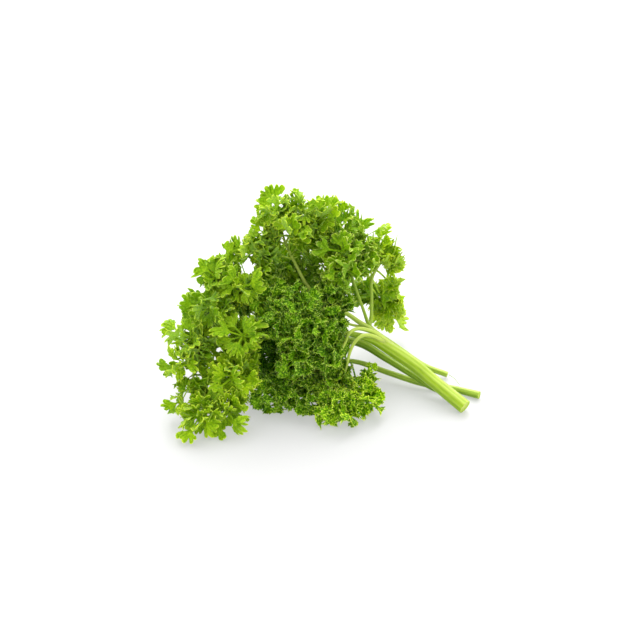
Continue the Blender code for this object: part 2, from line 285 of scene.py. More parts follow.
def new_surface(name):
    """A new material with its node tree, its shader, and the coordinates and tones that it reads."""
    material = bpy.data.materials.new(name)
    material.use_nodes = True
    tree = material.node_tree
    uv = node_link(tree, "ShaderNodeUVMap", uv_map="blade").outputs[0]
    place = node_link(tree, "ShaderNodeTexCoord").outputs["Object"]
    tone = node_link(tree, "ShaderNodeAttribute", attribute_name="tone")
    tones = node_link(tree, "ShaderNodeSeparateColor", {0: tone.outputs["Color"]}).outputs
    return material, tree, uv, place, (*tones, tone.outputs["Alpha"])


def stretched_noise(tree, uv, scale, detail):
    """Noise drawn out along a blade or a stalk, as veins and fibres are."""
    stretched = node_link(tree, "ShaderNodeMapping", {"Vector": uv, "Scale": scale}).outputs[0]
    return noise(tree, stretched, 1.0, detail)


def bump(tree, height, strength, distance):
    """Normals of a surface that rises by a height, in the shader only."""
    inputs = {"Height": height, "Strength": strength, "Distance": distance}
    return node_link(tree, "ShaderNodeBump", inputs).outputs[0]


# %% The leaf material
VEIN_SCALE = (60.0, 5.0, 1.0)  # across the blade, and along it
PATCH_SCALE = 260.0  # patches of about 4 mm
GRAIN_SCALE = 1000.0  # folds of about 1 mm
CELL_SCALE = 2600.0
BETWEEN_VEINS = (0.5, 0.6, 0.45, 1.0)  # these four tints multiply the green
# painted shade in the hollows of the grain
GRAIN_PAINTED_SHADE = (0.4, 0.55, 0.35, 1.0)
# yellower and brighter: partly the blade's own tone, partly painted glow of light shining through the leaves
YELLOW_TONE_AND_GLOW = (2.2, 1.8, 1.1, 1.0)
IN_SHADE = (0.42, 0.55, 0.5, 1.0)
# the margin's colour is a painted highlight, where light catches the edge and shines through it
MARGIN_SHARE = 0.15  # how much of the margin's colour the whole margin has


def leaf_colour(tree, veins, patches, painted_fold_light, v, tones, look):
    """The blade's colour from its largest pattern to its smallest, painted shade and highlights included,
    then its tone.
    """
    yellow_and_glow, shade, underside, tip = tones
    streaky, painted_fold_strength = look["streaky"], look["painted_fold_strength"]
    body = mixed(tree, ramp(tree, patches, 0.35, 0.65), look["deep"], look["light"])
    body = mixed(tree, ramp(tree, veins, 0.5, 0.68, 0.0, streaky), body, look["light"])
    body = mixed(tree, ramp(tree, veins, 0.5, 0.32, 0.0, streaky), body, BETWEEN_VEINS, "MULTIPLY")
    body = mixed(tree, underside, body, look["underside"])
    # the grain: painted shade in its hollows, then painted highlights on its crests
    body = mixed(tree, ramp(tree, painted_fold_light, 0.52, 0.38, 0.0, painted_fold_strength), body, GRAIN_PAINTED_SHADE, "MULTIPLY")
    body = mixed(tree, ramp(tree, painted_fold_light, 0.54, 0.66, 0.0, painted_fold_strength), body, look["painted_highlight"])
    # paler margin, then paler tips of the teeth: painted highlights
    body = mixed(tree, ramp(tree, v, 0.9, 1.0, 0.0, MARGIN_SHARE), body, look["margin"])
    body = mixed(tree, ramp(tree, tip, 0.55, 1.0), body, look["margin"])
    # yellower and brighter, as own tone and painted glow, then darker, as painted shade
    body = mixed(tree, yellow_and_glow, body, YELLOW_TONE_AND_GLOW, "MULTIPLY")
    return mixed(tree, shade, body, IN_SHADE, "MULTIPLY")


def leaf_material(name, look):
    """Crinkled leaf tissue, thin enough to let some light through."""
    material, tree, uv, place, tones = new_surface(name)
    v = node_link(tree, "ShaderNodeSeparateXYZ", {0: uv}).outputs[1]
    veins = stretched_noise(tree, uv, VEIN_SCALE, 3.0)
    patches = noise(tree, place, PATCH_SCALE, 3.0)
    painted_fold_light = noise(tree, place, GRAIN_SCALE, 1.0)
    cells = noise(tree, place, CELL_SCALE, 2.0)
    height = node_link(tree, "ShaderNodeMath", {0: veins, 1: cells}, operation="ADD").outputs[0]
    fill(tree, tree.nodes["Principled BSDF"], {
        "Base Color": leaf_colour(tree, veins, patches, painted_fold_light, v, tones, look),
        "Roughness": ramp(tree, patches, 0.3, 0.7, 0.42, 0.56),
        "Subsurface Weight": 0.4, "Subsurface Radius": (0.9, 1.0, 0.12), "Subsurface Scale": 0.0012,
        "Specular IOR Level": 0.12, "Normal": bump(tree, height, 0.35, 0.0004),
    })
    return material


# %% [markdown]
# The bunch has leaves of three kinds: broad ones with open lobes, tightly curled ones,
# and some in between. They differ in their greens, in how strongly the veins show and
# in how strong the painted shade and highlights of the grain are. The curled leaves are
# darkest, with the brightest painted highlights.

# %% Three kinds of leaf
LEAF_LOOKS = {
    "broad": dict(
        deep=(0.15, 0.32, 0.003, 1), light=(0.28, 0.49, 0.008, 1), painted_highlight=(0.38, 0.60, 0.03, 1),
        margin=(0.44, 0.63, 0.06, 1), underside=(0.28, 0.47, 0.07, 1), streaky=0.7, painted_fold_strength=0.4),
    "medium": dict(
        deep=(0.12, 0.28, 0.003, 1), light=(0.25, 0.47, 0.009, 1), painted_highlight=(0.38, 0.60, 0.04, 1),
        margin=(0.44, 0.62, 0.12, 1), underside=(0.22, 0.41, 0.03, 1), streaky=0.7, painted_fold_strength=0.4),
    "curled": dict(
        deep=(0.045, 0.15, 0.001, 1), light=(0.20, 0.44, 0.004, 1), painted_highlight=(0.38, 0.68, 0.05, 1),
        margin=(0.60, 0.80, 0.16, 1), underside=(0.10, 0.24, 0.006, 1), streaky=0.9, painted_fold_strength=1.0),
}
SLOTS = {kind: f"leaf_{kind}" for kind in LEAF_LOOKS}
LEAVES = {kind: leaf_material(SLOTS[kind], look) for kind, look in LEAF_LOOKS.items()}
print("leaf materials:", sorted(material.name for material in LEAVES.values()))


# %% [markdown]
# ## One fan
#
# A fan is a wedge of tissue on a narrow foot, with smooth sides and a margin cut into
# lobes that are cut again into teeth, rounded on the broad leaves and short and sharp
# on the curled ones. It starts as a flat grid primitive, whose columns become the
# teeth and whose rows run out from the foot. Where the margin is longer than the arc
# that holds it, the tissue has to fold. So each row follows a meander: its heading
# swings from side to side, in fine pleats on coarse folds, and more with each row
# outwards. Solidify then gives the sheet its thickness. Moving a few hundred points
# to such curves by hand would take days, so the places are worked out in code.

# %% Shape of the fans
FAN_LENGTH = 12.0  # mm, every fan is modelled at this length and scaled when placed
FOOT = 0.27  # share of the length that is the narrow foot
FOOT_WIDTH = 1.0  # mm
SHEET = 0.28  # mm, thickness of the blade
HINGE = FAN_LENGTH * FOOT
BLADE = FAN_LENGTH - HINGE

ROUND_TOOTH = (0.0, 0.08, 0.33, 0.67, 0.92)  # places of the columns within one tooth
BLUNT_TOOTH = (0.0, 0.12, 0.5, 0.88)
SHARP_TOOTH = (0.0, 0.5)

# %% [markdown]
# Each kind of fan is one row of values: the angle that it spans, in radians; the
# teeth of each lobe, with a few patterns to choose from; how deep the lobes and how
# shallow the teeth are cut, and how far a tooth's corners are rounded and its sides
# drawn in, as shares of the blade; the number of pleats and how far they swing; the
# number of folds and how far they turn; how the parts curl, twist, cup and frizz; and
# the rows of points from the foot outwards. The inner kind is a simpler one that
# fills the shade inside the heap.

# %% Four kinds of fan
FAN_KINDS = {
    "broad": dict(
        span=2.3, lobes=((2, 3, 2), (2, 3), (3, 2, 3), (2, 2, 2)), columns=ROUND_TOOTH,
        deep=0.44, shallow=0.25, round=0.13, gap=0.16, pleats=2.8, swing=0.75, folds=1.1, turn=0.5,
        curl=1.1, twist=0.7, cup=0.08, frizz=0.0, rows=(0, 0.2, 0.42, 0.62, 0.8, 0.92, 1.0)),
    "medium": dict(
        span=2.4, lobes=((3, 3, 2), (2, 3, 3), (3, 3), (2, 2, 3, 2)), columns=BLUNT_TOOTH,
        deep=0.42, shallow=0.22, round=0.1, gap=0.16, pleats=3.6, swing=0.9, folds=1.2, turn=0.6,
        curl=1.2, twist=0.9, cup=0.06, frizz=0.02, rows=(0, 0.28, 0.57, 0.82, 1.0)),
    "curled": dict(
        span=2.7, lobes=((7, 8, 7), (8, 7, 7), (6, 6, 6, 5), (7, 9, 6)), columns=SHARP_TOOTH,
        deep=0.24, shallow=0.13, round=0.0, gap=0.05, pleats=7.0, swing=1.0, folds=1.7, turn=0.9,
        curl=0.6, twist=0.0, cup=0.0, frizz=0.05, rows=(0, 0.4, 0.75, 1.0)),
    "inner": dict(
        span=2.9, lobes=((3, 3, 3), (4, 2, 3)), columns=SHARP_TOOTH,
        deep=0.46, shallow=0.26, round=0.0, gap=0.16, pleats=2.3, swing=0.95, folds=1.1, turn=0.6,
        curl=1.5, twist=0.0, cup=0.0, frizz=0.05, rows=(0, 0.4, 0.75, 1.0)),
}

# %% The teeth along a margin
TOOTH_WIDTHS = (0.65, 1.35)  # narrowest and widest, against the usual tooth
Column = namedtuple("Column", "tooth place share lobe lobe_middle tooth_middle notched lobe_edge")


def fan_columns(rng, lobes, places):
    """The grid's columns: the tooth and lobe of each, its place in the tooth and along the margin."""
    widths = [rng.uniform(*TOOTH_WIDTHS) for count in lobes for _ in range(count)]
    owners = [lobe for lobe, count in enumerate(lobes) for _ in range(count)]
    starts = np.concatenate([[0], np.cumsum(widths)]) / sum(widths)
    firsts = [owners.index(lobe) for lobe in range(len(lobes))]
    middles = [(starts[first] + starts[first + count]) / 2 for first, count in zip(firsts, lobes)]
    last = len(owners) - 1
    columns = []
    for tooth, place in [(tooth, place) for tooth in range(last + 1) for place in places] + [(last, 1.0)]:
        left, right = starts[tooth], starts[tooth + 1]
        lobe = owners[tooth]
        lobe_edge = place == 1.0 or (place == 0.0 and tooth in firsts)
        middle = (left + right) / 2
        share = left + (right - left) * place
        notched = place in (0.0, 1.0)
        columns.append(Column(tooth, place, share, lobe, middles[lobe], middle, notched, lobe_edge))
    return columns


def fan_chances(rng, lobe_count, tooth_count):
    """What makes one fan unlike the next: its folds, and how each lobe and tooth stands."""
    ranges = {
        "phases": (2, 0, 6.28), "tooth_reach": (tooth_count, -0.16, 0.04),
        "lobe_reach": (lobe_count, -0.1, 0.05), "lobe_curl": (lobe_count, -1, 1),
        "tooth_curl": (tooth_count, -1, 1), "tooth_twist": (tooth_count, -1, 1),
        "tooth_frizz": (tooth_count, -1, 1), "spine": (1, -0.3, 0.3),
    }
    return {key: [rng.uniform(low, high) for _ in range(count)] for key, (count, low, high) in ranges.items()}


# %% The outline: how far a fan reaches, and where its cuts open
SIDE_DROP = 0.14  # how much shorter a fan is at its two sides
SIDE_ROUND = 1.6
CUT_START = 0.8  # share of the uncut blade beyond which a cut's sides part
TOOTH_GAP = 0.7  # a tooth draws in by this share of what a lobe does


def margin_reach(kind, column, chances):
    """How far out the margin stands at a column, as a share of the blade."""
    height = 1 - kind["round"] * (1 - math.sqrt(1 - (2 * column.place - 1) ** 2))
    height += chances["tooth_reach"][column.tooth]
    if column.notched:
        height = 1 - (kind["deep"] if column.lobe_edge else kind["shallow"])
    height += chances["lobe_reach"][column.lobe]
    return height * (1 - SIDE_DROP * abs(2 * column.share - 1) ** SIDE_ROUND)


def drawn_in(kind, column, out):
    """Place along the margin, once a cut has opened on both sides of a lobe and of a tooth."""
    if column.lobe_edge:
        return column.share
    uncut = CUT_START * (1 - kind["deep"])
    gap = kind["gap"] * max(0.0, (out - uncut) / (1 - uncut))
    middle = column.lobe_middle
    share = middle + (column.share - middle) * (1 - gap)
    if not column.notched:
        tooth_middle = middle + (column.tooth_middle - middle) * (1 - gap)
        share = tooth_middle + (share - tooth_middle) * (1 - TOOTH_GAP * gap)
    return share


# %% The folds across a fan, and the curl along it
MEANDER_STEPS = 240
FOLD_GROWTH = 1.1  # how the folds grow from the foot outwards
FLAT_BASE = 0.15  # share of the blade that doesn't curl
LOBE_CURL = 0.4
TOOTH_CURL = 0.45
TOOTH_TWIST = 0.35


def meander(kind, out, phases):
    """Running place and height of a row whose heading swings in fine pleats on coarse folds."""
    s = np.linspace(0, 1, MEANDER_STEPS + 1)
    heading = kind["swing"] * np.sin(2 * np.pi * kind["pleats"] * s + phases[0])
    heading += kind["turn"] * np.sin(2 * np.pi * kind["folds"] * s + phases[1])
    heading *= out**FOLD_GROWTH
    run = np.concatenate([[0], np.cumsum(np.cos(heading[1:]) + np.cos(heading[:-1])) / 2 / MEANDER_STEPS])
    rise = np.concatenate([[0], np.cumsum(np.sin(heading[1:]) + np.sin(heading[:-1])) / 2 / MEANDER_STEPS])
    rise -= np.linspace(0, rise[-1], MEANDER_STEPS + 1)
    return s, run / run[-1], rise / run[-1]


def curled_up(kind, column, chances, out, reach):
    """How far a point stands off the flat blade, as a share of the blade's length."""
    bend_out = max(0.0, reach - FLAT_BASE) ** 2
    tooth = 0 if column.notched else 1
    lobe_part = LOBE_CURL * chances["lobe_curl"][column.lobe]
    tooth_part = TOOTH_CURL * chances["tooth_curl"][column.tooth] * tooth
    lift = bend_out * kind["curl"] * (lobe_part + tooth_part)
    twist = TOOTH_TWIST * chances["tooth_twist"][column.tooth] * (column.place - 0.5) * tooth
    lift += bend_out * kind["twist"] * twist
    lift -= kind["cup"] * (1 - (2 * column.place - 1) ** 2) * reach**2
    lift += kind["frizz"] * chances["tooth_frizz"][column.tooth] * tooth * out**4
    return lift + chances["spine"][0] * reach**2


# %% Every point of a fan
NARROW_BASE = 0.7  # share of its full angle that a fan spans at the foot
# the paler tip is a painted highlight
TIP_START = 0.7  # share of the blade beyond which a tooth turns paler


def fan_points(kind, columns, chances):
    """The grid's points from the foot outwards, in mm, and how near each is to the tip of a tooth."""
    points = [((column.share - 0.5) * FOOT_WIDTH, 0.0, 0.0) for column in columns]
    tips = [0.0] * len(columns)
    for out in kind["rows"]:
        s_table, run, rise = meander(kind, out, chances["phases"])
        for column in columns:
            s = drawn_in(kind, column, out)
            reach = max(0.0, out + (margin_reach(kind, column, chances) - 1) * out ** (1 / kind["deep"]))
            spread = NARROW_BASE + (1 - NARROW_BASE) * out
            angle = (np.interp(s, s_table, run) - 0.5) * kind["span"] * spread
            x = BLADE * reach * math.sin(angle) + (s - 0.5) * FOOT_WIDTH * (1 - out)
            y = HINGE + BLADE * reach * math.cos(angle)
            z = BLADE * reach * kind["span"] * np.interp(s, s_table, rise)
            points.append((x, y, z + BLADE * curled_up(kind, column, chances, out, reach)))
            near_tip = max(0.0, (out - TIP_START) / (1 - TIP_START)) ** 2
            tips.append(0.0 if column.notched else near_tip)
    return points, tips


# %% From a grid to a fan
NEAR_FOOT = 0.2  # share of the blade within which crowded points are merged
FOOT_MERGE = 0.13  # mm
CREASE = math.radians(65)  # an edge sharper than this stays sharp


def merge_foot(fan, near_foot):
    """Merge the points that crowd together where the columns meet at the foot."""
    fan.data.edges.foreach_set("select", [False] * len(fan.data.edges))
    fan.data.polygons.foreach_set("select", [False] * len(fan.data.polygons))
    fan.data.vertices.foreach_set("select", near_foot)
    bpy.ops.object.mode_set(mode="EDIT")
    bpy.ops.mesh.select_mode(type="VERT")
    bpy.ops.mesh.remove_doubles(threshold=FOOT_MERGE)
    bpy.ops.object.mode_set(mode="OBJECT")


def make_fan(name, kind, seed):
    """One fan, lying along +Y from its foot at the origin, facing +Z."""
    rng = random.Random(seed)
    lobes = kind["lobes"][seed % len(kind["lobes"])]
    columns = fan_columns(rng, lobes, kind["columns"])
    points, tips = fan_points(kind, columns, fan_chances(rng, len(lobes), sum(lobes)))
    deselect_all()
    bpy.ops.mesh.primitive_grid_add(
        x_subdivisions=len(columns) - 1, y_subdivisions=len(kind["rows"]), size=1.0, calc_uvs=True)
    fan = bpy.context.object
    fan.name = name
    fan.data.vertices.foreach_set("co", np.array(points).ravel())
    fan.data.uv_layers[0].name = "blade"
    tone = fan.data.attributes.new("tone", "FLOAT_COLOR", "POINT")
    tone.data.foreach_set("color", np.array([(0.0, 0.0, 0.0, tip) for tip in tips]).ravel())
    fan.data.update()
    make_active(fan)
    merge_foot(fan, [out < NEAR_FOOT for out in (0.0, *kind["rows"]) for _ in columns])
    sheet = fan.modifiers.new("sheet", "SOLIDIFY")
    sheet.thickness = SHEET
    sheet.offset = 0.0
    bpy.ops.object.modifier_apply(modifier=sheet.name)
    bpy.ops.object.shade_smooth_by_angle(angle=CREASE)
    return fan


# %% Eight fans of each kind
FANS_PER_KIND = 8
FANS = {
    kind: [make_fan(f"fan_{kind}_{n}", spec, 100 * index + n) for n in range(FANS_PER_KIND)]
    for index, (kind, spec) in enumerate(FAN_KINDS.items())
}
for kind, fans in FANS.items():
    print(kind, "fan triangles:", [sum(len(face.vertices) - 2 for face in fan.data.polygons) for fan in fans])


# %% [markdown]
# ## Openings
#
# A heap of parsley is not closed all round. On the side that it shows, the long
# petiole of the top leaf lies open, two more rise past the crown, three thin ones
# arch out of the main stalk, the floor shows between some leaves, and one dark hollow
# goes deep. A fan that would cover one of these is turned, shortened or left out, so
# the openings are listed first, as seen from where the camera stands.

# %% Where the camera stands
AIM = (0.0, 0.0, 36.0)  # mm
VIEW_TILT = math.radians(30)
VIEW_DISTANCE = 725.3  # mm
SIGHT = np.array([0.0, math.cos(VIEW_TILT), -math.sin(VIEW_TILT)])
SIGHT_UP = np.array([0.0, math.sin(VIEW_TILT), math.cos(VIEW_TILT)])
EYE = np.array(AIM) - VIEW_DISTANCE * SIGHT

# %% Petioles that arch out of the main stalk
PETIOLES = [  # x, y, z and the radius
    [
        (35, -2, 21.5, 1.4), (30, -0.5, 26, 1.3), (25, 0, 29.5, 1.1), (18, -3, 33, 0.9),
        (14, -6, 32, 0.8), (12, -8, 28, 0.7), (10, -12, 26, 0.5),
    ],
    [
        (35, -3.5, 21, 1.4), (30, -2, 25, 1.3), (25, -2.5, 28.5, 1.1), (20, -5, 30, 0.95),
        (16, -7.5, 27, 0.85), (14, -10, 23, 0.75), (13, -13, 19, 0.6), (12, -16, 16, 0.5),
    ],
    [(27, 8, 25, 0.8), (21, 12, 25, 0.7), (14, 10, 28, 0.6), (8, 8, 32, 0.5)],
]

# %% What the camera sees past the leaves
OPENINGS = [  # points along the middle, half width in mm, and whether it goes right through the heap
    ([row[:3] for row in PETIOLES[0][:6]], 1.2, False),
    ([row[:3] for row in PETIOLES[1][:7]], 1.2, False),
    ([(-5.4, 14, 47.4), (-10.4, 14, 58.4), (-17, 14, 71.4)], 1.4, False),  # the top petiole
    ([(23.3, 17, 25), (21.3, 17, 32), (16.3, 19.5, 47)], 1.4, False),  # the right stalk
    ([(25, 19, 25), (25.5, 22, 35), (25.6, 24, 46)], 1.4, False),  # and its branch
    ([(27, 11, 23), (19, 12, 28), (14, 12, 32)], 1.3, False),  # the top leaf's stalk
    ([(19.9, 17, 30.7), (22.7, 17, 25.6)], 1.5, True),  # the floor past the crown
    ([(16, 5, 29.2), (20.9, 5, 27.5)], 0.6, True),
    ([(-35, 12, 58)], 2.4, True),  # between the left and the top leaves
    ([(30, 30, 45.5)], 2.6, True),  # between the leaves on the right
    ([(39, 38, 40)], 0.9, True),
    ([(31.5, 40, 26.5)], 0.7, True),
    ([(41.4, 40, 30.1)], 1.1, True),
    ([(-61, -30, 24)], 1.3, True),  # low on the left
    ([(-62, -38, 17.5)], 1.3, True),
    ([(-16.8, 20, 72.6)], 0.8, True),  # on both sides of the top petiole
    ([(-27.3, 20, 74.2)], 0.8, True),
    ([(-25, -4, 24), (-25, -2, 14)], 3.0, False),  # the dark hollow
]
IN_FRONT = 1.0  # mm, a leaf further than this behind an opening doesn't cover it
print("openings:", len(OPENINGS), "of which right through:", sum(through for _, _, through in OPENINGS))


# %% Whether a fan covers an opening
def seen(points):
    """Sideways and upward place of points in the view, for a distance of one, and their distance."""
    away = np.asarray(points, dtype=float) - EYE
    distance = away @ SIGHT
    return np.stack([away[:, 0] / distance, (away @ SIGHT_UP) / distance], axis=1), distance


def covers_opening(points):
    """Whether any of a blade's points lies over an opening."""
    flat, distance = seen(points)
    for middles, half_width, through in OPENINGS:
        line, line_distance = seen(middles)
        for a, b, near in zip(line, [*line[1:], line[-1]], line_distance):
            step = b - a
            share = np.clip((flat - a) @ step / max(step @ step, 1e-12), 0, 1)
            gap = np.linalg.norm(flat - a - share[:, None] * step, axis=1) * near
            if np.any((gap < half_width) & (through | (distance < near + IN_FRONT))):
                return True
    return False


# %% [markdown]
# ## One tuft
#
# A leaflet's thin stem ends in a spray of fans that overlap like the petals of a
# flower. Their feet sit close together on the stem, and their directions are spread
# evenly round it by the golden angle, which is how plants avoid putting one leaf
# straight above another. Broad leaves open flat, and curled ones close to a ball. All
# turn their faces to the light. Plainer fans further down the stem fill the shade
# inside the heap.
#
# A fan is copied as a mesh of its own, and its points are put in place by numbers,
# because a few thousand copies through the transform operators would take minutes.

# %% Directions
SUNWARD = Vector((-0.1, -0.55, 0.8))  # the side to which the leaves have turned their faces


def across(direction):
    """Two directions at right angles to a direction, the first of them level."""
    side = direction.cross(Vector((0, 0, 1)))
    if side.length < 0.1:
        side = Vector((1, 0, 0))
    side.normalize()
    return side, side.cross(direction).normalized()


def to_envelope(start, direction, middle, axes, halves):
    """Distance from a point inside an ellipsoid to its surface along a direction."""
    p = [(start - middle).dot(axis) / half for axis, half in zip(axes, halves)]
    d = [direction.dot(axis) / half for axis, half in zip(axes, halves)]
    a = sum(x * x for x in d)
    b = 2 * sum(x * y for x, y in zip(p, d))
    c = sum(x * x for x in p) - 1
    root = b * b - 4 * a * c
    return (-b + math.sqrt(max(root, 0.0))) / (2 * a)


# %% Placing a fan
FOOT_END = 0.1  # share of the fan's length at which a petiole is let in


def rows_of(layer, name, width):
    """A mesh layer's values as the rows of an array."""
    values = np.empty(len(layer) * width)
    layer.foreach_get(name, values)
    return values.reshape(-1, width)


def place_fan(source, foot, direction, facing, petiole, length, tone):
    """A copy of a fan on a petiole that starts at a point, or None where it would cover an opening."""
    direction = direction.normalized()
    facing = (facing - direction * facing.dot(direction)).normalized()
    side = direction.cross(facing)
    turn = Matrix((side, direction, facing)).transposed()
    points = rows_of(source.data.vertices, "co", 3) * (length / FAN_LENGTH)
    points[points[:, 1] > FOOT_END * length, 1] += petiole
    points = points @ np.array(turn).T + np.array(foot)
    if covers_opening(points):
        return None
    fan = source.copy()
    fan.data = source.data.copy()
    bpy.context.collection.objects.link(fan)
    fan.data.vertices.foreach_set("co", ((points - np.array(LAYOUT_CENTRE)) * MM).ravel())
    layer = fan.data.attributes["tone"].data
    colours = rows_of(layer, "color", 4)
    colours[:, :2] = tone
    colours[len(colours) // 2:, 2] = 1.0  # Solidify adds the underside's points after the upper side's
    layer.foreach_set("color", colours.ravel())
    return fan


# %% Trying until it fits
TRIES = 7
STRAY = 0.15  # how much further each try strays from the first direction
SHRINK = 0.07  # how much shorter each try is


def grow_fan(rng, kind, foot, direction, facing, turn, petiole, length, tone):
    """Try a fan in a few turns, directions and lengths until it leaves the openings free."""
    for k in range(TRIES):
        source = FANS[kind][rng.randrange(FANS_PER_KIND)]
        turned = Matrix.Rotation(rng.uniform(-turn, turn), 3, direction) @ facing
        sway = Vector((rng.uniform(-1, 1), rng.uniform(-1, 1), rng.uniform(-1, 1)))
        shorter = 1 - SHRINK * k
        strayed = direction + STRAY * k * sway
        fan = place_fan(source, foot, strayed, turned, petiole * shorter, length * shorter, tone)
        if fan:
            return [fan]
    return []


# %% A tuft's stem
STEM_RADIUS = 0.55  # mm
STEM_TIP = 0.3  # mm
STEM_POINTS = 6
STEM_TONE = (0.7, 0.0, 1.0, 0.0)  # yellower, in the shade, underside, tip


def bend(base, control, tip, count):
    """Points on a simple arc from base to tip, pulled towards the control point."""
    return [
        base * (1 - t) ** 2 + control * 2 * t * (1 - t) + tip * t**2
        for t in (k / (count - 1) for k in range(count))
    ]


def make_stem(points, radii):
    """A thin tapered stem through a few layout points: a bevelled curve made a mesh."""
    curve = bpy.data.curves.new("stem", "CURVE")
    curve.dimensions = "3D"
    curve.bevel_depth = MM
    curve.bevel_resolution = 1
    curve.use_fill_caps = True
    spline = curve.splines.new("POLY")
    spline.points.add(len(points) - 1)
    for target, point, radius in zip(spline.points, points, radii):
        target.co = (*placed(point), 1.0)
        target.radius = radius
    stem = bpy.data.objects.new("stem", curve)
    bpy.context.collection.objects.link(stem)
    make_active(stem)
    bpy.ops.object.convert(target="MESH")
    bpy.ops.object.mode_set(mode="EDIT")
    bpy.ops.mesh.select_all(action="SELECT")
    bpy.ops.mesh.remove_doubles(threshold=0.00001)
    bpy.ops.mesh.normals_make_consistent(inside=False)
    bpy.ops.object.mode_set(mode="OBJECT")
    bpy.ops.object.shade_smooth()
    tone = stem.data.attributes.new("tone", "FLOAT_COLOR", "POINT")
    tone.data.foreach_set("color", STEM_TONE * len(stem.data.vertices))
    return stem


# %% Joining, and lying on the surface
SOFT_FLOOR = 2.2 * MM  # tissue lower than this is pressed towards the surface


def join(pieces, name):
    """Join pieces into the first one."""
    make_active(pieces[0])
    for piece in pieces[1:]:
        piece.select_set(True)
    bpy.ops.object.join()
    pieces[0].name = name
    pieces[0].data.name = name
    return pieces[0]


def press_to_floor(piece):
    """Flatten whatever hangs lower than the surface on to it."""
    points = rows_of(piece.data.vertices, "co", 3)
    low = points[:, 2] < SOFT_FLOOR
    points[low, 2] = SOFT_FLOOR * np.exp((points[low, 2] - SOFT_FLOOR) / SOFT_FLOOR)
    piece.data.vertices.foreach_set("co", points.ravel())
    piece.data.update()


# %% [markdown]
# ## How the tufts differ
#
# The light comes through the leaves at the rim of the heap, so they look yellower, and
# a tuft deep in the heap is dark: both are painted into the tufts' tones, as painted
# glow and painted shade. Some tufts are fuller than others. A few gaps that would let
# the floor show through the heap are closed by one more leaf, which reaches for the
# light there.

# %% Habits and gap leaves
# The first value paints glow, yellower and brighter, as light shining through the leaves; the second paints
# shade, darkest in the hollow.
HABITS = {  # groups and tufts that differ: how much yellower, how much darker, and how full
    "left": (0.06, 0.0, 1.0),
    "left_1": (0.3, 0.0, 1.1),
    "left_2": (0.3, 0.0, 1.1),
    "left_3": (0.25, 0.0, 1.1),
    "left_6": (0.2, 0.0, 1.0),
    "left_7": (0.3, 0.0, 1.1),
    "left_9": (0.0, 0.0, 1.15),
    "top": (0.22, 0.0, 1.0),
    "top_1": (0.22, 0.0, 1.2),
    "crown": (0.2, 0.0, 1.05),
    "right": (0.7, 0.0, 1.1),
    "right_4": (0.2, 0.3, 1.0),
    "front": (0.08, 0.0, 1.0),
    "front_9": (0.0, 1.0, 2.0),
    "low_1": (0.08, 0.0, 1.0),
    "low_2": (0.08, 0.0, 1.0),
    "low_3": (0.2, 0.0, 1.0),
    "low_4": (0.65, 0.0, 1.0),
    "low_5": (0.9, 0.0, 1.0),
    "low_6": (0.5, 0.0, 0.7),
    "back": (0.0, 0.0, 0.85),
}
GAP_LEAVES = {  # the place that the extra leaf of a tuft reaches
    "left_1": (-57.9, -43.6, 8.5),
    "left_4": (-47.0, -23.7, 34.1),
    "left_11": (-42.4, 15.2, 63.0),
    "top_2": (-12.2, 27.8, 84.8),
    "top_6": (1.3, 25.6, 78.1),
    "crown_1": (12.3, 31.9, 76.6),
    "front_8": (12.5, -5.0, 22.0),
}
GAP_LEAF_LENGTH = 10.0  # mm


# %% The frame of a tuft
STEM_START = 0.6  # a stem starts this share of the radius away from the middle of its stalk
STEM_ARC = 0.1  # how far it arches up, as a share of its length
HUB = 0.3  # the last fans sit this share of the tuft's length behind its middle
STEM_END = 0.05  # and the first ones this share
Tuft = namedtuple("Tuft", "middle width axes halves stem hub end")


def tuft_frame(stalk, share, middle, size):
    """Where a tuft's stem runs, and the directions and half sizes of the space that it fills."""
    points, radii = ROUTES[stalk]
    root = along(points, share)
    middle = Vector(middle)
    heading = (middle - root).normalized()
    base = root + heading * along(radii, share) * STEM_START
    length, width, depth = size
    hub = middle - heading * length * HUB
    end = middle - heading * length * STEM_END
    arc = Vector((0, 0, STEM_ARC * (hub - base).length))
    stem = bend(base, base.lerp(hub, 0.5) + arc, hub, STEM_POINTS) + [end]
    axes = (heading, *across(heading))
    return Tuft(middle, width, axes, (length / 2, width / 2, depth / 2), stem, hub, end)


def leaning(tuft, lean, round_stem):
    """A direction that leans away from the stem, turned round it."""
    heading, side, up = tuft.axes
    sideways = side * math.cos(round_stem) + up * math.sin(round_stem)
    return heading * math.cos(lean) + sideways * math.sin(lean)


# %% The spray at the end of the stem
GOLDEN_ANGLE = math.radians(137.5)
USUAL_WIDTH = 24.0  # mm, a narrower tuft has fewer fans
SPRAYS = {  # number of fans, least and most lean from the stem in degrees, and random turn
    "broad": (19, 15, 118, 0.8),
    "medium": (20, 15, 118, 0.8),
    "curled": (27, 10, 130, 1.3),
}
FEWEST_FANS = 5
CROWDING = 1.2  # how the number of fans grows with the width
LONGEST_FAN = {"broad": 13.0, "medium": 11.0, "curled": 10.0}  # mm
LONGEST_PETIOLE = 4.5  # mm
SHORTEST_REACH = 0.34  # share of the width
DEEP_SHADE = 0.5  # a tuft darker than this has long fans, which close the hollow behind


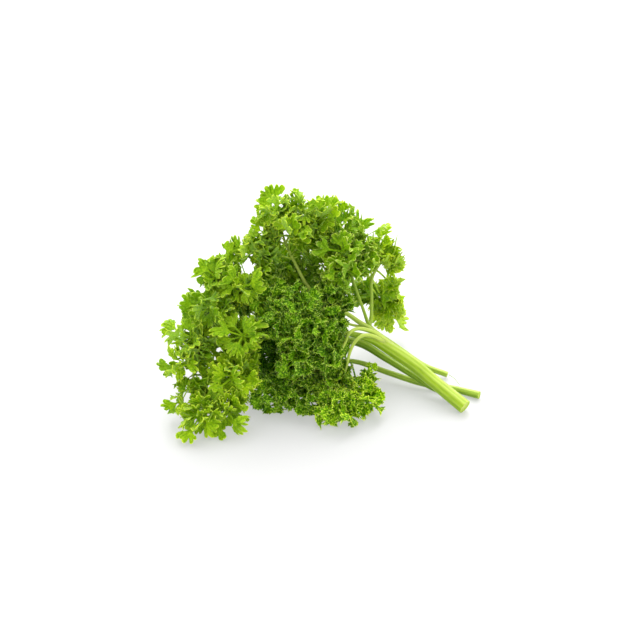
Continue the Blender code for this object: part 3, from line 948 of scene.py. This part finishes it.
def outer_fans(rng, tuft, kind, habit):
    """The fans at the end of the stem, out to the surface of the space that the tuft fills."""
    count, least, most, turn = SPRAYS[kind]
    yellow_and_glow, darker, fullness = habit
    count = max(FEWEST_FANS, round(count * fullness * (tuft.width / USUAL_WIDTH) ** CROWDING))
    # the fan's own tone at random, plus the habit's painted glow
    leaf_tone = rng.uniform(0.0, 0.14) + yellow_and_glow
    longest = LONGEST_FAN["broad"] if darker > DEEP_SHADE else LONGEST_FAN[kind]
    facing = tuft.axes[0] * (1 - darker) + SUNWARD * 0.8
    fans = []
    for k in range(count):
        lean = math.radians(least + (most - least) * math.sqrt((k + 0.3) / count)) + rng.uniform(-0.2, 0.2)
        direction = leaning(tuft, lean, k * GOLDEN_ANGLE + rng.uniform(-0.4, 0.4))
        foot = tuft.end.lerp(tuft.hub, k / count)
        reach = to_envelope(foot, direction, tuft.middle, tuft.axes, tuft.halves) * rng.uniform(0.94, 1.16)
        reach = max(SHORTEST_REACH * tuft.width, reach)
        blade = min(reach, longest * rng.uniform(0.78, 1.0))
        fan_tone = max(0.0, min(1.0, leaf_tone + rng.uniform(-0.14, 0.2)))
        # darker: the habit's painted shade and some darkening at random
        tone = (fan_tone, min(1.0, darker + rng.uniform(0.0, 0.3)))
        petiole = min(reach - blade, LONGEST_PETIOLE)
        fans += grow_fan(rng, kind, foot, direction, facing, turn, petiole, blade, tone)
    return fans


# %% Leaves inside the heap
INNER_FANS = {"broad": 12, "medium": 12, "curled": 17}
INNER_WIDTH = 0.7 * USUAL_WIDTH  # a narrower tuft has none
GAP_LEAF_FOOT = 0.6  # share of the stem
GAP_LEAF_MIDDLE = 0.65  # share of the leaf that is over the gap


def inner_fans(rng, tuft, kind, yellow_and_glow):
    """Plainer fans down the stem, which fill the shade behind the spray."""
    facing = tuft.axes[0] * 0.4 + SUNWARD
    fans = []
    for k in range(INNER_FANS[kind] if tuft.width > INNER_WIDTH else 0):
        lean = math.radians(rng.uniform(50, 125))
        direction = leaning(tuft, lean, k * GOLDEN_ANGLE * 1.3 + rng.uniform(-0.4, 0.4))
        foot = along(tuft.stem, rng.uniform(0.45, 0.85))
        # painted shade inside the heap, lifted by the habit's painted glow
        tone = (0.2 + 0.6 * yellow_and_glow, rng.uniform(0.65, 0.95) * (1 - 0.5 * yellow_and_glow))
        length = rng.uniform(9.5, 12.5)
        fans += grow_fan(rng, "inner", foot, direction, facing, 0.9, 0.0, length, tone)
    return fans


def gap_leaf(rng, tuft, target, yellow_and_glow):
    """One more leaf, whose middle reaches a place where the floor would show."""
    foot = along(tuft.stem, GAP_LEAF_FOOT)
    direction = Vector(target) - foot
    petiole = max(0.0, direction.length - GAP_LEAF_MIDDLE * GAP_LEAF_LENGTH)
    # half in painted shade, lifted by the habit's painted glow
    tone = (0.2 + 0.6 * yellow_and_glow, 0.5)
    return grow_fan(rng, "inner", foot, direction, SUNWARD, 0.3, petiole, GAP_LEAF_LENGTH, tone)


# %% A whole tuft
def make_tuft(name, kind, row, seed, habit, target):
    """One leaflet: its stem and all its fans, joined into one mesh."""
    rng = random.Random(seed)
    tuft = tuft_frame(*row)
    stem = make_stem(tuft.stem, np.linspace(STEM_RADIUS, STEM_TIP, len(tuft.stem)))
    fans = outer_fans(rng, tuft, kind, habit)
    fans += inner_fans(rng, tuft, kind, habit[0])
    if target:
        fans += gap_leaf(rng, tuft, target, habit[0])
    piece = join([*fans, stem], name)
    press_to_floor(piece)
    piece.data.materials.clear()
    piece.data.materials.append(LEAVES[kind])
    return piece


# %% [markdown]
# ## Growing the bunch
#
# Each tuft takes the place of its plain stand-in in the model. Its seed comes from
# its place in the table, so the bunch grows in the same way each time, and a change
# to one tuft leaves the others as they are.

# %% Growing every tuft
for place, (group, (kind, rows)) in enumerate(TUFTS.items(), start=1):
    faces = 0
    for number, row in enumerate(rows, start=1):
        label = f"{group}_{number}"
        node = f"leaflet_{label}"
        habit = HABITS.get(label) or HABITS[group]
        tuft = make_tuft(f"tuft_{label}", kind, row, 100 * place + number, habit, GAP_LEAVES.get(label))
        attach(tuft, "root")
        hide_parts(node)
        faces += sum(len(polygon.vertices) - 2 for polygon in tuft.data.polygons)
    print(group, "tufts:", len(rows), "with", faces, "triangles")

# %% Removing the pattern fans
for fans in FANS.values():
    for fan in fans:
        bpy.data.objects.remove(fan, do_unlink=True)


# %% [markdown]
# ## Stalk tissue
#
# A fresh parsley stalk is firm and juicy. It has pale ribs, deeper green between them,
# faint streaks along it and a soft shine. Its upper side is painted paler, as painted
# light, and its underside darker where it lies level, as painted shade, and the cut end
# is palest. The streaks are noise stretched along the stalk's UV map, and the ribs and
# sides are painted into the tone attribute.

# %% The stalk material
STREAK_SCALE = (40.0, 2.0, 1.0)  # round the stalk, and along it
CLOUD_SCALE = 120.0  # clouds of about 8 mm
UNDER_STALK = (0.62, 0.72, 0.5, 1.0)  # this tint multiplies the green on the shaded side


def stalk_material(name, deep, light, pale):
    """Fresh ribbed stalk: light ribs, deeper green between them, faint streaks."""
    material, tree, uv, place, tones = new_surface(name)
    streaks = stretched_noise(tree, uv, STREAK_SCALE, 4.0)
    clouds = noise(tree, place, CLOUD_SCALE, 3.0)
    body = mixed(tree, ramp(tree, streaks, 0.35, 0.65), deep, light)
    body = mixed(tree, ramp(tree, clouds, 0.4, 0.7, 0.0, 0.4), body, light)
    # painted shade on the lower side, then paleness: the stalk's own pale tone and ribs, with painted light
    # on its upper side
    body = mixed(tree, tones[1], body, UNDER_STALK, "MULTIPLY")
    fill(tree, tree.nodes["Principled BSDF"], {
        "Base Color": mixed(tree, tones[0], body, pale), "Roughness": 0.38, "Specular IOR Level": 0.3,
        "Subsurface Weight": 0.35, "Subsurface Radius": (1.0, 1.1, 0.35), "Subsurface Scale": 0.002,
        "Normal": bump(tree, streaks, 0.25, 0.0003),
    })
    return material


PALE_GREENS = ((0.24, 0.41, 0.004, 1), (0.38, 0.56, 0.01, 1), (0.68, 0.79, 0.18, 1))
DEEP_GREENS = ((0.15, 0.28, 0.004, 1), (0.26, 0.42, 0.01, 1), (0.56, 0.70, 0.12, 1))
STALK_GREENS = {"stalk_pale": PALE_GREENS, "stalk_green": DEEP_GREENS}
STALK_SLOTS = {slot: stalk_material(slot, *greens) for slot, greens in STALK_GREENS.items()}
print("stalk materials:", list(STALK_SLOTS))


# %% [markdown]
# ## Stalks
#
# A parsley stalk is ribbed along its length. Each one starts as a cylinder, which is
# cut into rings by subdividing its long edges, with a smaller ring inset on each end.
# Every ring is then carried to its place on the route, with the ribs in the mesh, so
# that they catch the light as ridges do. The cut end is slightly hollow.

# %% A tube cut into rings
END_RING = 0.35  # the inset ring on the ends, for a radius of one
LONG_EDGE = 0.5  # of a cylinder that is one high
END_NORMAL = 0.9


def ringed_tube(name, rings, sides):
    """A cylinder of unit radius and height, cut into rings, with a smaller ring on each end."""
    deselect_all()
    bpy.ops.mesh.primitive_cylinder_add(vertices=sides, radius=1.0, depth=1.0, end_fill_type="NGON")
    tube = bpy.context.object
    tube.name = name
    bpy.ops.object.mode_set(mode="EDIT")
    bpy.ops.mesh.select_mode(type="EDGE")
    bpy.ops.mesh.select_all(action="DESELECT")
    bpy.ops.object.mode_set(mode="OBJECT")
    corners = tube.data.vertices
    for edge in tube.data.edges:
        edge.select = abs(corners[edge.vertices[0]].co.z - corners[edge.vertices[1]].co.z) > LONG_EDGE
    bpy.ops.object.mode_set(mode="EDIT")
    bpy.ops.mesh.subdivide(number_cuts=rings - 2)
    bpy.ops.mesh.select_mode(type="FACE")
    bpy.ops.mesh.select_all(action="DESELECT")
    bpy.ops.object.mode_set(mode="OBJECT")
    for face in tube.data.polygons:
        face.select = abs(face.normal.z) > END_NORMAL
    bpy.ops.object.mode_set(mode="EDIT")
    bpy.ops.mesh.inset(thickness=END_RING, use_even_offset=False)
    bpy.ops.object.mode_set(mode="OBJECT")
    return tube


# %% A map along the tube
def map_tube(tube, length):
    """UV coordinates once round the tube, and by one for every 10 mm along it."""
    corners = tube.data.vertices
    uv = tube.data.uv_layers[0]
    uv.name = "blade"
    for face in tube.data.polygons:
        angles = [math.atan2(corners[k].co.y, corners[k].co.x) / math.tau for k in face.vertices]
        wraps = max(angles) - min(angles) > 0.5
        for loop, corner, angle in zip(face.loop_indices, face.vertices, angles):
            turned = angle + 1 if wraps and angle < 0 else angle
            uv.data[loop].uv = (turned, (corners[corner].co.z + 0.5) * length / 10)


# %% Carrying the rings along a route
END_RIM = 0.9  # points nearer to the middle than this are on a cut end
CUT_HOLLOW = 0.25  # how deep the lower cut end is, for a radius of one
END_TONE = (0.85, 0.0, 0.0, 1.0)
SUNNY_PALE = 0.4  # how much paler the upper side is
RIB_PALE = 0.16  # and a rib than a groove
SHARP_EDGE = math.radians(50)  # the rim of a cut end stays sharp


def route_frames(points):
    """At each point of a route: two directions across it, and how level it runs."""
    frames = []
    last = len(points) - 1
    side = None
    for k in range(len(points)):
        run = (points[min(k + 1, last)] - points[max(k - 1, 0)]).normalized()
        if side is None:
            side, _ = across(run)
        side = (side - run * side.dot(run)).normalized()
        frames.append((side.copy(), run.cross(side), math.hypot(run.x, run.y)))
    return frames


def stalk_tone(outward, level, rib, pale, dark):
    """Paler above, as painted light, and on the ribs; darker below where the stalk lies level, as painted
    shade.
    """
    sunny = max(0.0, outward.z - 0.5) / 0.5
    shaded = min(1.0, max(0.0, 0.5 - outward.z) * 1.3) * level**2
    paleness = min(1.0, max(0.0, pale + SUNNY_PALE * sunny + RIB_PALE * rib))
    return (paleness, min(1.0, dark + shaded), 0.0, 1.0)


def make_stalk(name, rows, ribs, rib_depth, sides, pale, dark, step=1.5):
    """A ribbed tube along a route, closed at both ends."""
    points, radii = smooth_route(rows, step)
    frames = route_frames(points)
    last = len(points) - 1
    stalk = ringed_tube(name, len(points), sides)
    map_tube(stalk, last * step)
    tones = []
    for corner in stalk.data.vertices:
        k = min(int(round((corner.co.z + 0.5) * last)), last)
        side, up, level = frames[k]
        angle = math.atan2(corner.co.y, corner.co.x)
        rim = math.hypot(corner.co.x, corner.co.y)
        rib = math.cos(ribs * angle)
        outward = side * math.cos(angle) + up * math.sin(angle)
        on_end = rim < END_RIM
        tones += END_TONE if on_end else stalk_tone(outward, level, rib, pale, dark)
        sunk = CUT_HOLLOW * radii[k] if on_end and k == 0 else 0.0
        centre = points[k] + (points[1] - points[0]).normalized() * sunk
        corner.co = placed(centre + outward * radii[k] * rim * (1 + rib_depth * rib * min(1.0, rim)))
    stalk.data.attributes.new("tone", "FLOAT_COLOR", "POINT").data.foreach_set("color", tones)
    make_active(stalk)
    bpy.ops.object.mode_set(mode="EDIT")
    bpy.ops.mesh.select_all(action="SELECT")
    bpy.ops.mesh.normals_make_consistent(inside=False)
    bpy.ops.object.mode_set(mode="OBJECT")
    bpy.ops.object.shade_smooth_by_angle(angle=SHARP_EDGE)
    return stalk


# %% [markdown]
# The thick front stalk is the palest material. It carries three thin petioles that
# arch over and hang down into the leaves, too thin to have a place in the model. A
# torn fibre hangs from the cut end of the right stalk. A side branch starts inside
# its stalk, at a junction, so that no gap shows between them.

# %% Growing every stalk
# how dark a stalk is made all over goes through the tint of the painted shade; on the left stalk it is partly
# painted shade and partly its own darker green
STALK_LOOKS = {  # ribs, rib depth, sides, how pale, how dark, slot
    "stalk_main": (9, 0.04, 54, 0.05, 0.0, "stalk_pale"),
    "stalk_low": (7, 0.04, 28, 0.2, 0.0, "stalk_green"),
    "stalk_left": (7, 0.05, 28, 0.0, 0.2, "stalk_green"),
    "stalk_right": (6, 0.04, 24, 0.4, 0.0, "stalk_green"),
    "stalk_top": (6, 0.04, 24, 0.85, 0.0, "stalk_green"),
    "branch_left": (5, 0.04, 15, 0.3, 0.0, "stalk_green"),
    "branch_right": (5, 0.04, 15, 0.5, 0.0, "stalk_green"),
    "branch_back": (5, 0.04, 15, 0.3, 0.0, "stalk_green"),
}
PETIOLE_LOOK = (5, 0.04, 15, 0.45, 0.0)
FIBRE_LOOK = (3, 0.0, 6, 0.0, 1.0)
JUNCTIONS = {  # where each side branch grows out of its stalk
    "branch_left": (-20.5, 0.3, 26.3, 1.0),
    "branch_right": (24.5, 17.2, 23, 0.9),
    "branch_back": (-2.6, 13.8, 42.9, 1.0),
}
FIBRE = [(63.5, 4, 2.6, 0.15), (66, 0, 2.8, 0.12), (68, -7, 3.4, 0.1)]
for node, (*look, slot) in STALK_LOOKS.items():
    rows = [JUNCTIONS[node], *STALKS[node]] if node in JUNCTIONS else STALKS[node]
    stalk = make_stalk(f"{node}_ribbed", rows, *look)
    if node == "stalk_main":
        arches = [make_stalk("petiole", rows, *PETIOLE_LOOK) for rows in PETIOLES]
        stalk = join([stalk, *arches], stalk.name)
    if node == "stalk_right":
        stalk = join([stalk, make_stalk("fibre", FIBRE, *FIBRE_LOOK)], stalk.name)
    stalk.data.materials.clear()
    stalk.data.materials.append(STALK_SLOTS[slot])
    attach(stalk, "root")
    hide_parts(node)
    print(node, "faces:", len(stalk.data.polygons))


# %% [markdown]
# ## Studio
#
# The bunch lies on a plain white floor under two large, soft lights and a white sky,
# with its back to the lights, so the leaves glow. The floor glows a little too, as a
# light table does, so the shadow stays pale and close, and light reaches into the
# heap from below. A long lens looks down on the bunch at thirty degrees.

# %% The floor
FLOOR_GREY = 0.36
FLOOR_GLOW = 0.4
card = bpy.data.materials.new("white_floor")  # matt card with a weak light behind it
card.use_nodes = True
fill(card.node_tree, card.node_tree.nodes["Principled BSDF"], {
    "Base Color": (FLOOR_GREY, FLOOR_GREY, FLOOR_GREY, 1), "Roughness": 0.6,
    "Emission Color": (1.0, 1.0, 1.0, 1.0), "Emission Strength": FLOOR_GLOW,
})
deselect_all()
bpy.ops.mesh.primitive_plane_add(size=8.0, location=(0, 0, 0))
floor = bpy.context.object
floor.name = "floor"
floor.data.materials.append(card)


# %% The lights and the sky
def area_light(name, place, aim, size, power):
    """A round soft light at a place, turned to what it lights."""
    light = bpy.data.lights.new(name, "AREA")
    light.shape = "DISK"
    light.size = size
    light.energy = power
    lamp = bpy.data.objects.new(name, light)
    lamp.location = place
    lamp.rotation_euler = (Vector(aim) - Vector(place)).to_track_quat("-Z", "Y").to_euler()
    bpy.context.scene.collection.objects.link(lamp)
    return lamp


TARGET = placed(AIM)
lamps = [
    area_light("key", (-0.1, 0.65, 0.9), TARGET, 1.4, 10.0),
    area_light("rear", (0.1, 1.0, 0.7), TARGET, 1.2, 9.0),
]
world = bpy.data.worlds.new("studio")
bpy.context.scene.world = world
world.use_nodes = True
fill(world.node_tree, world.node_tree.nodes["Background"], {"Color": (1, 1, 1, 1), "Strength": 1.2})
bpy.context.scene.view_settings.view_transform = "Standard"
print("lights:", [lamp.name for lamp in lamps])

# %% The camera
camera = bpy.data.cameras.new("camera")
camera.lens = 85
camera_object = bpy.data.objects.new("camera", camera)
camera_object.location = placed(EYE)
camera_object.rotation_euler = (math.radians(90) - VIEW_TILT, 0, 0)
bpy.context.scene.collection.objects.link(camera_object)
bpy.context.scene.camera = camera_object
print("camera at", camera_object.location)
